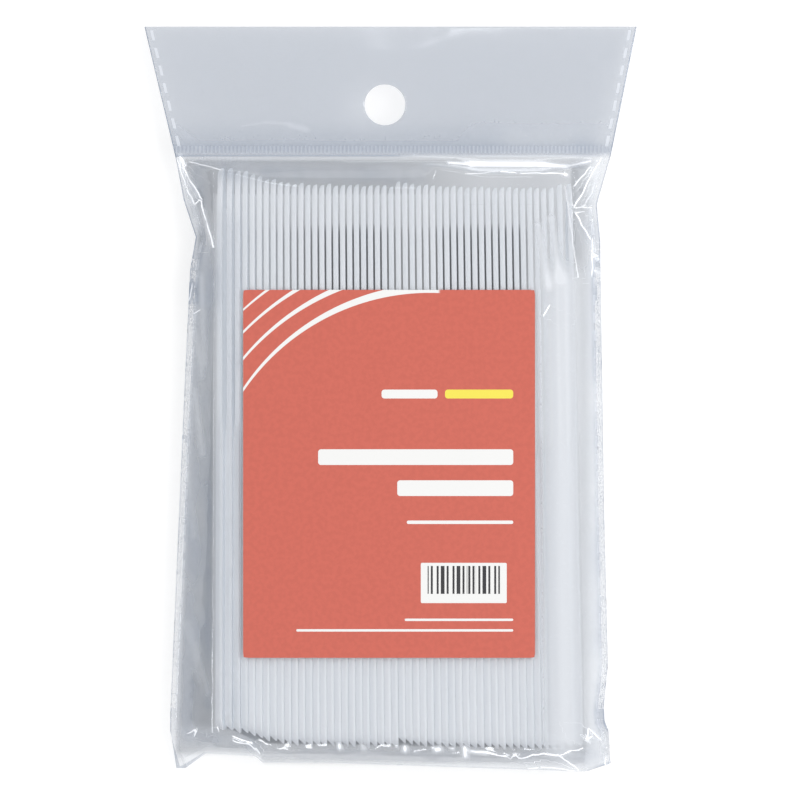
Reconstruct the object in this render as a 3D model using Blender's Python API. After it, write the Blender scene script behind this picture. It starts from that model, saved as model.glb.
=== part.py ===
"""A clear header bag of fifty plastic table knives, lying on its back.

The knives stand on edge, side by side, in one fanned row. The bag is one film: a front and a back panel welded down
both sides, a flat flared header with a round hang hole above the seal line, and a bottom lip that wraps the knives'
butts and lies on the back. A paper label is stuck on the front panel.

X runs across the row, Y runs from the folded bottom to the header, Z runs up from the face that the pack lies on.
The origin is at the middle of the bag's outline, on that face.
"""

import math

import bmesh
import bpy
from mathutils import Vector

MM = 0.001

# One knife: a channelled handle, a ribbed spine and a tapered blade
KNIFE_COUNT = 50
KNIFE_LENGTH = 165.0 * MM
HANDLE_LENGTH = 86.0 * MM  # butt to the start of the blade's heel
HANDLE_DEPTH = 15.6 * MM  # across the handle near its butt
NECK_DEPTH = 11.4 * MM  # across the handle at its narrowest
HANDLE_THICKNESS = 1.85 * MM
HANDLE_WEB = 0.85 * MM  # floor of the channel between the rims
RIM_WIDTH = 1.5 * MM
RIM_DRAFT = 0.5 * MM  # slope of each rim's inner wall
BUTT_CHAMFER = 1.3 * MM  # bevel of the open face at the butt
BUTT_ROUNDING = 4.2 * MM  # length over which the butt is rounded in outline
BLADE_DEPTH = 17.0 * MM
SPINE_THICKNESS = 1.5 * MM
BLADE_THICKNESS = 0.9 * MM
EDGE_THICKNESS = 0.45 * MM
EDGE_GRIND = 4.5 * MM  # height of the ground strip above the cutting edge
HEEL_LENGTH = 7.0 * MM
BELLY_LENGTH = 24.0 * MM  # stretch over which the edge sweeps up to the tip
TIP_DROP = 2.6 * MM  # fall of the spine at the tip
TIP_HEIGHT = 2.6 * MM  # height of the blunt tip

# The row of knives
KNIFE_GAP = 0.25 * MM
TIP_PITCH = 2.03 * MM  # knives lie closer at the tips, so the row fans
BUTT_SHIFT = 2.4 * MM  # how far the row sits off the bag's middle
TIP_SHIFT = 0.8 * MM
LEFT_STAGGER = 4.4 * MM  # the first knives stand further up the bag
LEFT_STAGGER_KNIVES = 5.9
RIGHT_SINK = 1.6 * MM  # the last knives stand lower
END_LIFT = 1.5 * MM
END_LIFT_KNIVES = 1.6
SECOND_HANDFUL = 25  # the first knife of the second handful, which was pushed in a little less far
SECOND_RISE = 1.2 * MM
SECOND_RISE_KNIVES = 3.0
UNEVENNESS = 0.35 * MM  # how far single knives stand off their neighbours' line
LEFT_LEAN = math.radians(5.0)
RIGHT_LEAN = math.radians(6.0)
LEAN_KNIVES = 1.3

# The bag's film
FILM = 0.25 * MM
FILM_GAP = 0.3 * MM
HEADER_HEIGHT = 38.1 * MM  # top edge to the seal line
HEADER_TOP_WIDTH = 145.0 * MM
HEADER_DROOP = 4.5 * MM
HEADER_BOW = 1.6 * MM
SEAL_HEIGHT = 9.0 * MM  # height of the seal line above the resting face
WELD_WIDTH = 1.8 * MM
WELD_HEIGHT = 8.2 * MM
TIP_SPACE = 8.2 * MM  # seal line to the tips
FOOT_SPACE = 8.0 * MM  # butts to the folded bottom
SHOULDER = 2.0 * MM  # how far past a tip the film levels out
SHOULDER_EASE = 1.2  # above 1 the film leaves the seal line more gently
LIP_LENGTH = 13.0 * MM
MOUTH_SPACE = 1.8 * MM  # butts to the back panel's free edge
CORNER_HEIGHT = 5.0 * MM
PUCKER_HEIGHT = 0.55 * MM  # gathers that run in from the side welds
PUCKER_PITCH = 17.0 * MM
CORNER_FOLD_HEIGHT = 1.1 * MM  # folds that fan out from the shoulder's two corners
CORNER_FOLDS = 3.5
CORNER_FOLD_REACH = 15.0 * MM
FOOT_FOLD_HEIGHT = 0.5 * MM  # slack folds between the butts and the folded bottom
FOOT_FOLD_PITCH = 21.0 * MM
HANG_HOLE_DIAMETER = 12.0 * MM
HANG_HOLE_DROP = 23.4 * MM  # top edge to the hole's middle
HANG_HOLE_SHIFT = 1.6 * MM

# How far the side edges stand out past the row, against the distance below the seal line
LEFT_MARGIN = (
    (0.0 * MM, 11.7 * MM),
    (13.0 * MM, 9.2 * MM),
    (24.0 * MM, 5.6 * MM),
    (33.6 * MM, 7.3 * MM),
    (72.0 * MM, 9.1 * MM),
    (163.0 * MM, 13.0 * MM),
    (171.0 * MM, 13.1 * MM),
    (180.0 * MM, 10.5 * MM),
)
RIGHT_MARGIN = (
    (0.0 * MM, 11.4 * MM),
    (14.4 * MM, 7.0 * MM),
    (24.5 * MM, 7.8 * MM),
    (107.0 * MM, 7.4 * MM),
    (150.0 * MM, 7.6 * MM),
    (162.0 * MM, 6.1 * MM),
    (167.5 * MM, 6.3 * MM),
    (171.5 * MM, 8.6 * MM),
    (179.0 * MM, 7.6 * MM),
)
# How far the folded bottom stops short of its lowest point, against the distance from the left edge
BOTTOM_RISE = (
    (2.5 * MM, 0.9 * MM),
    (9.5 * MM, 5.2 * MM),
    (24.5 * MM, 4.4 * MM),
    (26.5 * MM, 2.5 * MM),
    (47.0 * MM, 2.4 * MM),
    (118.0 * MM, 0.0 * MM),
    (122.0 * MM, 0.0 * MM),
    (129.5 * MM, 2.7 * MM),
)

# The paper label
LABEL_WIDTH = 85.6 * MM
LABEL_LENGTH = 107.9 * MM
LABEL_THICKNESS = 0.3 * MM
LABEL_DROP = 77.7 * MM  # top edge of the bag to the label's top edge
LABEL_SHIFT = 0.4 * MM
LABEL_CORNER = 0.6 * MM

# Values that follow from the sizes above
KNIFE_PITCH = HANDLE_THICKNESS + KNIFE_GAP
BAG_LENGTH = HEADER_HEIGHT + TIP_SPACE + KNIFE_LENGTH + FOOT_SPACE
TOP_Y = BAG_LENGTH / 2
SEAL_Y = TOP_Y - HEADER_HEIGHT
BUTT_Y = SEAL_Y - TIP_SPACE - KNIFE_LENGTH
BOTTOM_Y = -BAG_LENGTH / 2
LIP_TOP = FILM
BACK_OUTER = LIP_TOP + FILM_GAP
BACK_INNER = BACK_OUTER + FILM
KNIFE_BASE = BACK_INNER + FILM_GAP
FRONT_INNER = KNIFE_BASE + BLADE_DEPTH + FILM_GAP
FRONT_OUTER = FRONT_INNER + FILM


def clear_scene():
    for obj in list(bpy.data.objects):
        bpy.data.objects.remove(obj)


def material(name, colour, roughness, alpha=1.0):
    made = bpy.data.materials.new(name)
    made.use_nodes = True
    shader = made.node_tree.nodes["Principled BSDF"]
    shader.inputs["Base Color"].default_value = (*colour, 1.0)
    shader.inputs["Roughness"].default_value = roughness
    shader.inputs["Metallic"].default_value = 0.0
    shader.inputs["Alpha"].default_value = alpha
    return made


def add_object(name, mesh, finish):
    obj = bpy.data.objects.new(name, mesh)
    bpy.context.scene.collection.objects.link(obj)
    if not mesh.materials:
        mesh.materials.append(finish)
    return obj


def between(low, high, share):
    return low + (high - low) * share


def table_value(table, distance):
    """Value at a distance in a table of (distance, value) pairs joined by straight runs."""
    if distance <= table[0][0]:
        return table[0][1]
    for (start, first), (end, second) in zip(table, table[1:]):
        if distance <= end:
            return between(first, second, (distance - start) / (end - start))
    return table[-1][1]


# The knife's shape


def knife_stations():
    """Cross-sections from butt to tip: place along the knife, low and high edge, and thickness at each level.

    Each row is (y, low, high, thickness at the top, web, thickness at the bottom, top rim, bottom rim).
    """
    handle_low = (BLADE_DEPTH - HANDLE_DEPTH) / 2
    handle_high = handle_low + HANDLE_DEPTH
    neck_high = handle_high - (HANDLE_DEPTH - NECK_DEPTH) / 4
    neck_low = neck_high - NECK_DEPTH
    butt_thickness = HANDLE_THICKNESS - BUTT_CHAMFER
    blade_start = HANDLE_LENGTH + HEEL_LENGTH
    belly_start = KNIFE_LENGTH - BELLY_LENGTH
    tip_high = BLADE_DEPTH - TIP_DROP
    tip_low = tip_high - TIP_HEIGHT
    handle = (HANDLE_THICKNESS, HANDLE_WEB, HANDLE_THICKNESS, RIM_WIDTH, RIM_WIDTH)
    blade = (SPINE_THICKNESS, BLADE_THICKNESS, EDGE_THICKNESS, RIM_WIDTH, EDGE_GRIND)
    solid_end = (HANDLE_THICKNESS, HANDLE_THICKNESS, HANDLE_THICKNESS, RIM_WIDTH, RIM_WIDTH)
    narrow_end = (butt_thickness, butt_thickness, butt_thickness, RIM_WIDTH, RIM_WIDTH)
    mid_belly = belly_start + BELLY_LENGTH * 0.68
    return [
        (0.0, handle_low + HANDLE_DEPTH * 0.26, handle_high - HANDLE_DEPTH * 0.26, *narrow_end),
        (BUTT_CHAMFER, handle_low + HANDLE_DEPTH * 0.09, handle_high - HANDLE_DEPTH * 0.09, *solid_end),
        (BUTT_ROUNDING, handle_low, handle_high, *handle),
        (HANDLE_LENGTH, neck_low, neck_high, *handle),
        (blade_start, 0.0, BLADE_DEPTH - TIP_DROP * 0.15, *blade),
        (belly_start, 0.0, BLADE_DEPTH, *blade),
        (mid_belly, tip_low * 0.27, BLADE_DEPTH - TIP_DROP * 0.12, *blade),
        (
            KNIFE_LENGTH - TIP_HEIGHT,
            tip_low * 0.68,
            BLADE_DEPTH - TIP_DROP * 0.45,
            SPINE_THICKNESS,
            BLADE_THICKNESS,
            EDGE_THICKNESS,
            RIM_WIDTH,
            RIM_WIDTH,
        ),
        (
            KNIFE_LENGTH,
            tip_low,
            tip_high,
            BLADE_THICKNESS,
            BLADE_THICKNESS,
            EDGE_THICKNESS,
            TIP_HEIGHT / 3,
            TIP_HEIGHT / 3,
        ),
    ]


def knife_section(station):
    """Eight corners of one cross-section: the flat right face, then the spine, the channel or grind, and the edge."""
    y, low, high, top, web, bottom, top_rim, bottom_rim = station
    right = HANDLE_THICKNESS / 2
    draft = min(RIM_DRAFT, (high - low - top_rim - bottom_rim) / 4)
    corners = (
        (0.0, low),
        (0.0, high),
        (top, high),
        (top, high - top_rim),
        (web, high - top_rim - draft),
        (web, low + bottom_rim + draft),
        (bottom, low + bottom_rim if bottom > web else low + draft),
        (bottom, low),
    )
    return [Vector((right - inward, y, height)) for inward, height in corners]


def knife_mesh():
    """Lofts the sections from butt to tip and caps both ends."""
    shape = bmesh.new()
    rings = [[shape.verts.new(point) for point in knife_section(s)] for s in knife_stations()]
    for ring, following in zip(rings, rings[1:]):
        count = len(ring)
        for k in range(count):
            after = (k + 1) % count
            shape.faces.new((ring[k], ring[after], following[after], following[k]))
    shape.faces.new(rings[0])
    shape.faces.new(rings[-1])
    bmesh.ops.recalc_face_normals(shape, faces=shape.faces)
    mesh = bpy.data.meshes.new("knife")
    shape.to_mesh(mesh)
    shape.free()
    mesh.shade_smooth()
    mesh.set_sharp_from_angle(angle=math.radians(30))
    return mesh


# The row's places


def row_place(index, pitch, shift):
    return shift + (index - (KNIFE_COUNT - 1) / 2) * pitch


def drift(index):
    """How far up the bag the row stands: the left end rides up, the right end sinks, and the last ones lift again."""
    last = KNIFE_COUNT - 1
    rise = LEFT_STAGGER * math.exp(-((index / LEFT_STAGGER_KNIVES) ** 2))
    sink = RIGHT_SINK * index / last
    lift = END_LIFT * math.exp(-(((last - index) / END_LIFT_KNIVES) ** 2))
    return rise - sink + lift


def stagger(index):
    """How far up the bag one knife stands: the row's drift, the second handful's rise and some unevenness."""
    past = index - SECOND_HANDFUL
    second = SECOND_RISE * math.exp(-past / SECOND_RISE_KNIVES) if past >= 0 else 0.0
    return drift(index) + second + UNEVENNESS * math.sin(2.4 * index) * math.sin(0.7 * index)


def lean(index):
    """Turn about the knife's length: the end knives lean outwards."""
    last = KNIFE_COUNT - 1
    left = LEFT_LEAN * math.exp(-index / LEAN_KNIVES)
    right = RIGHT_LEAN * math.exp(-(last - index) / LEAN_KNIVES)
    return right - left


def row_x(index, y):
    """Middle of a knife across the row, at a place along the bag."""
    butt = row_place(index, KNIFE_PITCH, BUTT_SHIFT)
    tip = row_place(index, TIP_PITCH, TIP_SHIFT)
    return between(butt, tip, (y - BUTT_Y) / KNIFE_LENGTH)


def row_side(side, y):
    """Outermost x of the knives at one side of the row, with the end knife's lean."""
    index = 0 if side < 0 else KNIFE_COUNT - 1
    reach = HANDLE_THICKNESS / 2 + BLADE_DEPTH * math.sin(abs(lean(index)))
    return row_x(index, y) + side * (reach + FILM_GAP)


def row_drift_at(x, y):
    """Drift of the row at x, with the end knives' value past the row."""
    first, last = row_x(0, y), row_x(KNIFE_COUNT - 1, y)
    share = min(max((x - first) / (last - first), 0.0), 1.0)
    return drift(share * (KNIFE_COUNT - 1))


def add_knives(finish):
    mesh = knife_mesh()
    for index in range(KNIFE_COUNT):
        knife = add_object(f"knife_{index + 1:02d}", mesh, finish)
        butt = row_place(index, KNIFE_PITCH, BUTT_SHIFT)
        tip = row_place(index, TIP_PITCH, TIP_SHIFT)
        yaw = math.atan2(butt - tip, KNIFE_LENGTH)
        knife.location = (butt, BUTT_Y + stagger(index), KNIFE_BASE)
        knife.rotation_euler = (0.0, lean(index), yaw)


# The film's shape

ACROSS_ROW = 12  # film columns over the row
SLOPE = 4  # film columns down each side
HEADER_ROWS = (0.0, 0.24, 0.42, 0.82)
SHOULDER_ROWS = (0.2, 0.45, 0.7, 1.0)
PANEL_STEPS = 13


def side_edge(side, y):
    """The film's own side edge: the flared header above the seal line, the pouch's fin below it."""
    table = LEFT_MARGIN if side < 0 else RIGHT_MARGIN
    at_seal = row_side(side, SEAL_Y) + side * table[0][1]
    if y >= SEAL_Y:
        return between(at_seal, side * HEADER_TOP_WIDTH / 2, (y - SEAL_Y) / HEADER_HEIGHT)
    return row_side(side, y) + side * table_value(table, SEAL_Y - y)


def column_xs(y):
    """The film's columns from its left edge to its right: fin, weld line, side slope, row, and the same again."""
    left, right = side_edge(-1, y), side_edge(1, y)
    left_weld, right_weld = left + WELD_WIDTH, right - WELD_WIDTH
    low, high = row_side(-1, min(y, SEAL_Y)), row_side(1, min(y, SEAL_Y))
    if y > SEAL_Y:
        flare = (right - left) / (side_edge(1, SEAL_Y) - side_edge(-1, SEAL_Y))
        low, high = low * flare, high * flare
    slope_shares = [k / (SLOPE + 1) for k in range(1, SLOPE + 1)]
    xs = [left, left_weld]
    xs += [between(left_weld, low, share) for share in slope_shares]
    xs += [between(low, high, k / ACROSS_ROW) for k in range(ACROSS_ROW + 1)]
    xs += [between(high, right_weld, share) for share in slope_shares]
    return xs + [right_weld, right]


COLUMNS = 2 + SLOPE + ACROSS_ROW + 1 + SLOPE + 2
LAST = COLUMNS - 1


def rise_share(column):
    """How far a column has climbed from the weld line to the row's level: 0 at the welds, 1 over the row."""
    inward = min(column, LAST - column) - 1
    return min(max(inward / (SLOPE + 1), 0.0), 1.0)


def header_z(x, y):
    """The header droops towards its top edge and is bowed a little across its width."""
    up = (y - SEAL_Y) / HEADER_HEIGHT
    bow = HEADER_BOW * math.cos(math.pi * x / HEADER_TOP_WIDTH) * math.sin(math.pi * up)
    return SEAL_HEIGHT - HEADER_DROOP * up * up + bow


def weld_z(y):
    """Height of the side weld: from the seal line's height to the weld's own, then down to the folded corner."""
    below = (SEAL_Y - y) / TIP_SPACE
    upper = between(SEAL_HEIGHT, WELD_HEIGHT, min(max(below, 0.0), 1.0))
    near_foot = min(max((BUTT_Y + FOOT_SPACE - y) / (2 * FOOT_SPACE), 0.0), 1.0)
    return between(upper, CORNER_HEIGHT, near_foot * near_foot)


def bottom_edge(x):
    """The folded bottom's y at a place across it."""
    return BOTTOM_Y + table_value(BOTTOM_RISE, x - side_edge(-1, BUTT_Y))


def back_inner_z(y):
    """The back panel's inside: above the lip where the lip lies, on the resting face further up."""
    lip_end = BOTTOM_Y + LIP_LENGTH
    clear = min(max((y - lip_end) / LIP_LENGTH, 0.0), 1.0)
    return between(BACK_INNER, FILM, clear * clear * (3 - 2 * clear))


def header_grid():
    """Rows of the header sheet's middle plane, from the top edge down to the seal line."""
    rows = []
    for share in (*HEADER_ROWS, 1.0):
        y = TOP_Y - HEADER_HEIGHT * share
        rows.append([Vector((x, y, header_z(x, y))) for x in column_xs(y)])
    return rows


def side_fold(x, y, share):
    """Height of the side slope's gathers and, near the shoulder's corners, of the folds that fan out there."""
    on_slope = 4 * share * (1 - share)
    side = -1 if x < 0 else 1
    gather = PUCKER_HEIGHT * math.sin(2 * math.pi * y / PUCKER_PITCH + side)
    corner_x = row_side(side, SEAL_Y)
    turn = math.atan2(SEAL_Y - y, side * (x - corner_x))
    reach = math.hypot(x - corner_x, y - SEAL_Y) / CORNER_FOLD_REACH
    fan = CORNER_FOLD_HEIGHT * math.sin(2 * CORNER_FOLDS * turn) * math.exp(-reach * reach)
    return on_slope * (gather + fan)


def foot_fold(x):
    """Height of the slack folds over the foot."""
    wave = math.sin(2 * math.pi * x / FOOT_FOLD_PITCH) + 0.6 * math.sin(3.4 * math.pi * x / FOOT_FOLD_PITCH)
    return FOOT_FOLD_HEIGHT * wave


def panel_rows():
    """For each pouch row: y at every column, and how far the row has climbed from the seal line to full height."""
    rows = []
    for share in SHOULDER_ROWS:
        row = []
        for x in column_xs(SEAL_Y - TIP_SPACE * share):
            full = SEAL_Y - TIP_SPACE - SHOULDER + row_drift_at(x, SEAL_Y)
            row.append((between(SEAL_Y, full, share), math.sin(share**SHOULDER_EASE * math.pi / 2)))
        rows.append(row)
    top = [y for y, _ in rows[-1]]
    foot_columns = column_xs(BUTT_Y)
    for step in range(1, PANEL_STEPS + 1):
        share = step / PANEL_STEPS
        row = []
        for start, x in zip(top, foot_columns):
            end = BUTT_Y - FILM_GAP + row_drift_at(x, BUTT_Y)
            row.append((between(start, end, share), 1.0))
        rows.append(row)
    return rows


def pouch_grids():
    """Inner faces of the front and back panels, from the seal line to the foot, as rows of points."""
    front, back = [], []
    for row in panel_rows():
        front_row, back_row = [], []
        for column, (y, climb) in enumerate(row):
            x = column_xs(y)[column]
            share = rise_share(column)
            weld = weld_z(y)
            seal = between(SEAL_HEIGHT, weld, climb)
            fold = side_fold(x, y, share) * climb
            front_row.append(Vector((x, y, between(weld, between(seal, FRONT_INNER, climb), share) + fold)))
            back_row.append(Vector((x, y, between(weld, between(seal, back_inner_z(y), climb), share))))
        front.append(front_row)
        back.append(back_row)
    return front, back


def foot_grids(front_end, back_end):
    """The rows past the butts: the front wraps the foot down to the fold, the back ends in its free edge."""
    front, back = [], []
    for reach, drop in ((0.55, 0.8), (1.0, 0.42)):
        front_row, back_row = [], []
        for column in range(COLUMNS):
            above, below = front_end[column], back_end[column]
            fold_y = bottom_edge(above.x)
            y = between(above.y, fold_y, reach)
            x = column_xs(y)[column]
            share = rise_share(column)
            weld = weld_z(y)
            level = FRONT_INNER * drop + foot_fold(x)
            front_row.append(Vector((x, y, between(weld, level, share))))
            mouth_y = between(y, below.y - MOUTH_SPACE * reach, share)
            back_row.append(Vector((x, mouth_y, between(weld, back_inner_z(y), share))))
        front.append(front_row)
        back.append(back_row)
    return front, back


def lip_grid(fold):
    """The lip's inner face, from the fold round to its free edge on the back."""
    rows = []
    end_y = BOTTOM_Y + LIP_LENGTH
    under = FOOT_SPACE * 0.45
    for inward, level in ((under * 0.12, 0.35), (under, 0.0)):
        rows.append([Vector((p.x, p.y + inward, between(LIP_TOP, p.z, level))) for p in fold])
    for share in (0.5, 1.0):
        rows.append([Vector((p.x, between(p.y, end_y, share), LIP_TOP)) for p in rows[1]])
    return rows


def offset(grid, distance):
    """The grid moved along its own normals by a distance."""
    moved = []
    for j, row in enumerate(grid):
        before, after = grid[max(j - 1, 0)], grid[min(j + 1, len(grid) - 1)]
        new_row = []
        for i, point in enumerate(row):
            across = row[min(i + 1, LAST)] - row[max(i - 1, 0)]
            down = after[i] - before[i]
            new_row.append(point + down.cross(across).normalized() * distance)
        moved.append(new_row)
    return moved


def raised(row, distance):
    return [point + Vector((0.0, 0.0, distance)) for point in row]


def film_surfaces():
    """The bag's four faces as rows of points: outer front, inner front, outer back, inner back."""
    header = header_grid()
    front, back = pouch_grids()
    front_foot, back_foot = foot_grids(front[-1], back[-1])
    front += front_foot
    back += back_foot
    lip = lip_grid(front[-1])
    inner_front = [header[-1], *front, *lip]
    inner_back = [header[-1], *back]
    outer_front = offset(inner_front, FILM)
    outer_back = offset(inner_back, -FILM)
    flat_lip = len(outer_front) - 3
    for j in range(flat_lip, len(outer_front)):
        outer_front[j] = raised(inner_front[j], -FILM)
    for j in range(len(inner_back)):
        for i in (0, 1, LAST - 1, LAST):
            middle = inner_front[j][i]
            outer_front[j][i] = middle + Vector((0.0, 0.0, FILM))
            outer_back[j][i] = middle - Vector((0.0, 0.0, FILM))
    outer_front = [raised(row, FILM) for row in header] + outer_front[1:]
    outer_back = [raised(row, -FILM) for row in header] + outer_back[1:]
    return outer_front, inner_front, outer_back, inner_back


class FilmBuilder:
    """Turns the bag's four faces into one closed mesh: welded sides, a sealed top and an open, folded mouth."""

    def __init__(self):
        self.shape = bmesh.new()

    def points(self, rows):
        return [[self.shape.verts.new(point) for point in row] for row in rows]

    def face(self, *corners):
        self.shape.faces.new(corners)

    def sheet(self, rows, first, last):
        """Quads over the rows, between two columns."""
        for row, following in zip(rows, rows[1:]):
            for i in range(first, last):
                self.face(row[i], row[i + 1], following[i + 1], following[i])

    def strip(self, side_a, side_b):
        """Quads that join two lines of points."""
        for k in range(len(side_a) - 1):
            self.face(side_a[k], side_a[k + 1], side_b[k + 1], side_b[k])

    def build(self):
        outer_front, inner_front, outer_back, inner_back = film_surfaces()
        header_rows = len(HEADER_ROWS)
        mouth = len(inner_back) - 1
        of, ob = self.points(outer_front), self.points(outer_back)
        inf = self.points(inner_front)
        inb = self.points(inner_back)
        for j in range(mouth + 1):
            for i in range(COLUMNS):
                shared = j == 0 or i in (0, 1, LAST - 1, LAST)
                if shared:
                    self.shape.verts.remove(inb[j][i])
                    inb[j][i] = inf[j][i]
        for j in range(mouth):
            for i in (0, LAST):
                self.shape.verts.remove(inf[j][i])
        for i in (0, LAST):
            inf_corner = inf[mouth][i]
            self.face(
                of[header_rows + mouth - 1][i],
                of[header_rows + mouth][i],
                inf_corner,
                ob[header_rows + mouth][i],
                ob[header_rows + mouth - 1][i],
            )
        self.sheet(of, 0, LAST)
        self.sheet(ob, 0, LAST)
        self.sheet(inf[: mouth + 1], 1, LAST - 1)
        self.sheet(inf[mouth:], 0, LAST)
        self.sheet(inb, 1, LAST - 1)
        self.strip(of[0], ob[0])
        self.strip(ob[-1], inb[mouth])
        self.strip(of[-1], inf[-1])
        for i in (0, LAST):
            self.strip(
                [row[i] for row in of[: header_rows + mouth]],
                [row[i] for row in ob[: header_rows + mouth]],
            )
            self.strip([row[i] for row in of[header_rows + mouth :]], [row[i] for row in inf[mouth:]])
        bmesh.ops.recalc_face_normals(self.shape, faces=self.shape.faces)
        mesh = bpy.data.meshes.new("film_bag")
        self.shape.to_mesh(mesh)
        self.shape.free()
        return mesh


def hang_hole_cutter():
    """A round punch through the header."""
    bpy.ops.mesh.primitive_cylinder_add(
        vertices=32,
        radius=HANG_HOLE_DIAMETER / 2,
        depth=SEAL_HEIGHT * 3,
        location=(-HANG_HOLE_SHIFT, TOP_Y - HANG_HOLE_DROP, SEAL_HEIGHT),
    )
    cutter = bpy.context.object
    cutter.name = "hang_hole_cutter"
    cutter.hide_render = True
    cutter.display_type = "WIRE"
    return cutter


def add_film_bag(finish):
    bag = add_object("film_bag", FilmBuilder().build(), finish)
    bag.data.shade_smooth()
    bag.data.set_sharp_from_angle(angle=math.radians(30))
    punch = bag.modifiers.new("hang_hole", "BOOLEAN")
    punch.operation = "DIFFERENCE"
    punch.solver = "EXACT"
    punch.object = hang_hole_cutter()


def add_label(finish):
    """A flat paper rectangle with slightly rounded corners, on the front panel."""
    shape = bmesh.new()
    half_width, half_length = LABEL_WIDTH / 2, LABEL_LENGTH / 2
    corners = ((1, 1), (-1, 1), (-1, -1), (1, -1))
    outline = []
    for quarter, (across, along) in enumerate(corners):
        for step in range(4):
            angle = math.radians(90 * quarter + 30 * step)
            x = across * (half_width - LABEL_CORNER) + math.cos(angle) * LABEL_CORNER
            y = along * (half_length - LABEL_CORNER) + math.sin(angle) * LABEL_CORNER
            outline.append(shape.verts.new((x, y, 0.0)))
    base = shape.faces.new(outline)
    lifted = bmesh.ops.extrude_face_region(shape, geom=[base])
    tops = [item for item in lifted["geom"] if isinstance(item, bmesh.types.BMVert)]
    bmesh.ops.translate(shape, verts=tops, vec=(0.0, 0.0, LABEL_THICKNESS))
    bmesh.ops.recalc_face_normals(shape, faces=shape.faces)
    mesh = bpy.data.meshes.new("label")
    shape.to_mesh(mesh)
    shape.free()
    label = add_object("label", mesh, finish)
    label.location = (
        -LABEL_SHIFT,
        TOP_Y - LABEL_DROP - half_length,
        FRONT_OUTER + FILM_GAP,
    )


def main():
    clear_scene()
    white_plastic = material("white_plastic", (0.83, 0.85, 0.87), 0.35)
    clear_film = material("clear_film", (0.74, 0.78, 0.83), 0.08, alpha=0.35)
    coral_paper = material("coral_paper", (0.66, 0.17, 0.12), 0.55)
    add_knives(white_plastic)
    add_film_bag(clear_film)
    add_label(coral_paper)


main()
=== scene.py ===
import math

import bpy
import numpy as np
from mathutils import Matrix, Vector


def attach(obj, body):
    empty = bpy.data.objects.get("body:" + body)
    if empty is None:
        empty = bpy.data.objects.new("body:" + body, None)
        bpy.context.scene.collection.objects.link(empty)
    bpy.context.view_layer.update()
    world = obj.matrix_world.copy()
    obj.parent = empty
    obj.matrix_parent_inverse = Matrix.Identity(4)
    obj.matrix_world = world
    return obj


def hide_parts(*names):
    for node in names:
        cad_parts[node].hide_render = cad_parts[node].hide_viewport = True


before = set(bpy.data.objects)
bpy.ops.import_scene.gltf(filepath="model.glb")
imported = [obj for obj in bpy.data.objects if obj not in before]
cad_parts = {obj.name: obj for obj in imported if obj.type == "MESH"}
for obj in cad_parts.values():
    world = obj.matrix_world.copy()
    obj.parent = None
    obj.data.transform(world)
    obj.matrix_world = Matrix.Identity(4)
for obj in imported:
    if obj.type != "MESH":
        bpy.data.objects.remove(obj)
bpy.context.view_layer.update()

print("frame: the packed model is in")

# Lengths are in millimetres until a mesh is filled; +Y points to the header and +Z out of the labelled front
metre = 0.001
turn = 2 * math.pi

pack = {
    "length": 219.3,
    "headerHeight": 38.1,
    "headerTopWidth": 145.0,
    "tipSpace": 8.2,  # seal line to the knife tips
    "footSpace": 8.0,  # knife butts to the folded bottom
    "knifeBase": 1.1,
    "frontHeight": 18.45,
    "backHeight": 0.55,
    "sealHeight": 9.0,
    "weldHeight": 8.2,
    "cornerHeight": 5.0,
    "weldWidth": 1.8,
    "shoulder": 2.0,
    "shoulderEase": 1.2,
    "lipLength": 13.0,
}
topY = pack["length"] / 2
sealY = topY - pack["headerHeight"]
tipY = sealY - pack["tipSpace"]
knifeLength = pack["length"] - pack["headerHeight"] - pack["tipSpace"] - pack["footSpace"]
buttY = tipY - knifeLength
bottomY = -topY


def softStep(low, high, value):
    # 3s^2 - 2s^3, where s runs from 0 at low to 1 at high
    s = np.clip((value - low) / (high - low), 0, 1)
    return s * s * (3 - 2 * s)


def softNoise(x, y, cell, seed):
    # random heights on a square lattice, mixed between their four neighbours by softened shares
    lattice = np.random.default_rng(seed).uniform(-1, 1, (97, 97))
    gx, gy = x / cell + 48, y / cell + 48
    i, j = np.floor(gx).astype(int), np.floor(gy).astype(int)
    fx, fy = gx - i, gy - j
    fx, fy = fx * fx * (3 - 2 * fx), fy * fy * (3 - 2 * fy)
    near = lattice[i % 97, j % 97] * (1 - fx) + lattice[(i + 1) % 97, j % 97] * fx
    far = lattice[i % 97, (j + 1) % 97] * (1 - fx) + lattice[(i + 1) % 97, (j + 1) % 97] * fx
    return near * (1 - fy) + far * fy


def foldNoise(x, y, cell, seed):
    # the noise folded at zero, so that its zero lines become straight-sided creases
    return 1 - 2 * np.abs(softNoise(x, y, cell, seed))


# Meshes from whole arrays


def gridFaces(numbers):
    # one four-cornered face for each cell of a grid of vertex numbers
    a, b = numbers[:-1, :-1], numbers[1:, :-1]
    c, d = numbers[1:, 1:], numbers[:-1, 1:]
    return np.stack([a, b, c, d], axis=-1).reshape(-1, 4)


def enclosedVolume(points, faces):
    # sum of the signed volumes of the wedges from the origin to each face's two triangles
    corners = points[faces]
    first = np.cross(corners[:, 1], corners[:, 2])
    volume = np.einsum("ij,ij->i", corners[:, 0], first).sum()
    if faces.shape[1] == 4:
        second = np.cross(corners[:, 2], corners[:, 3])
        volume += np.einsum("ij,ij->i", corners[:, 0], second).sum()
    return volume / 6


def addObject(name, data):
    made = bpy.data.objects.new(name, data)
    bpy.context.scene.collection.objects.link(made)
    return made


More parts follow.
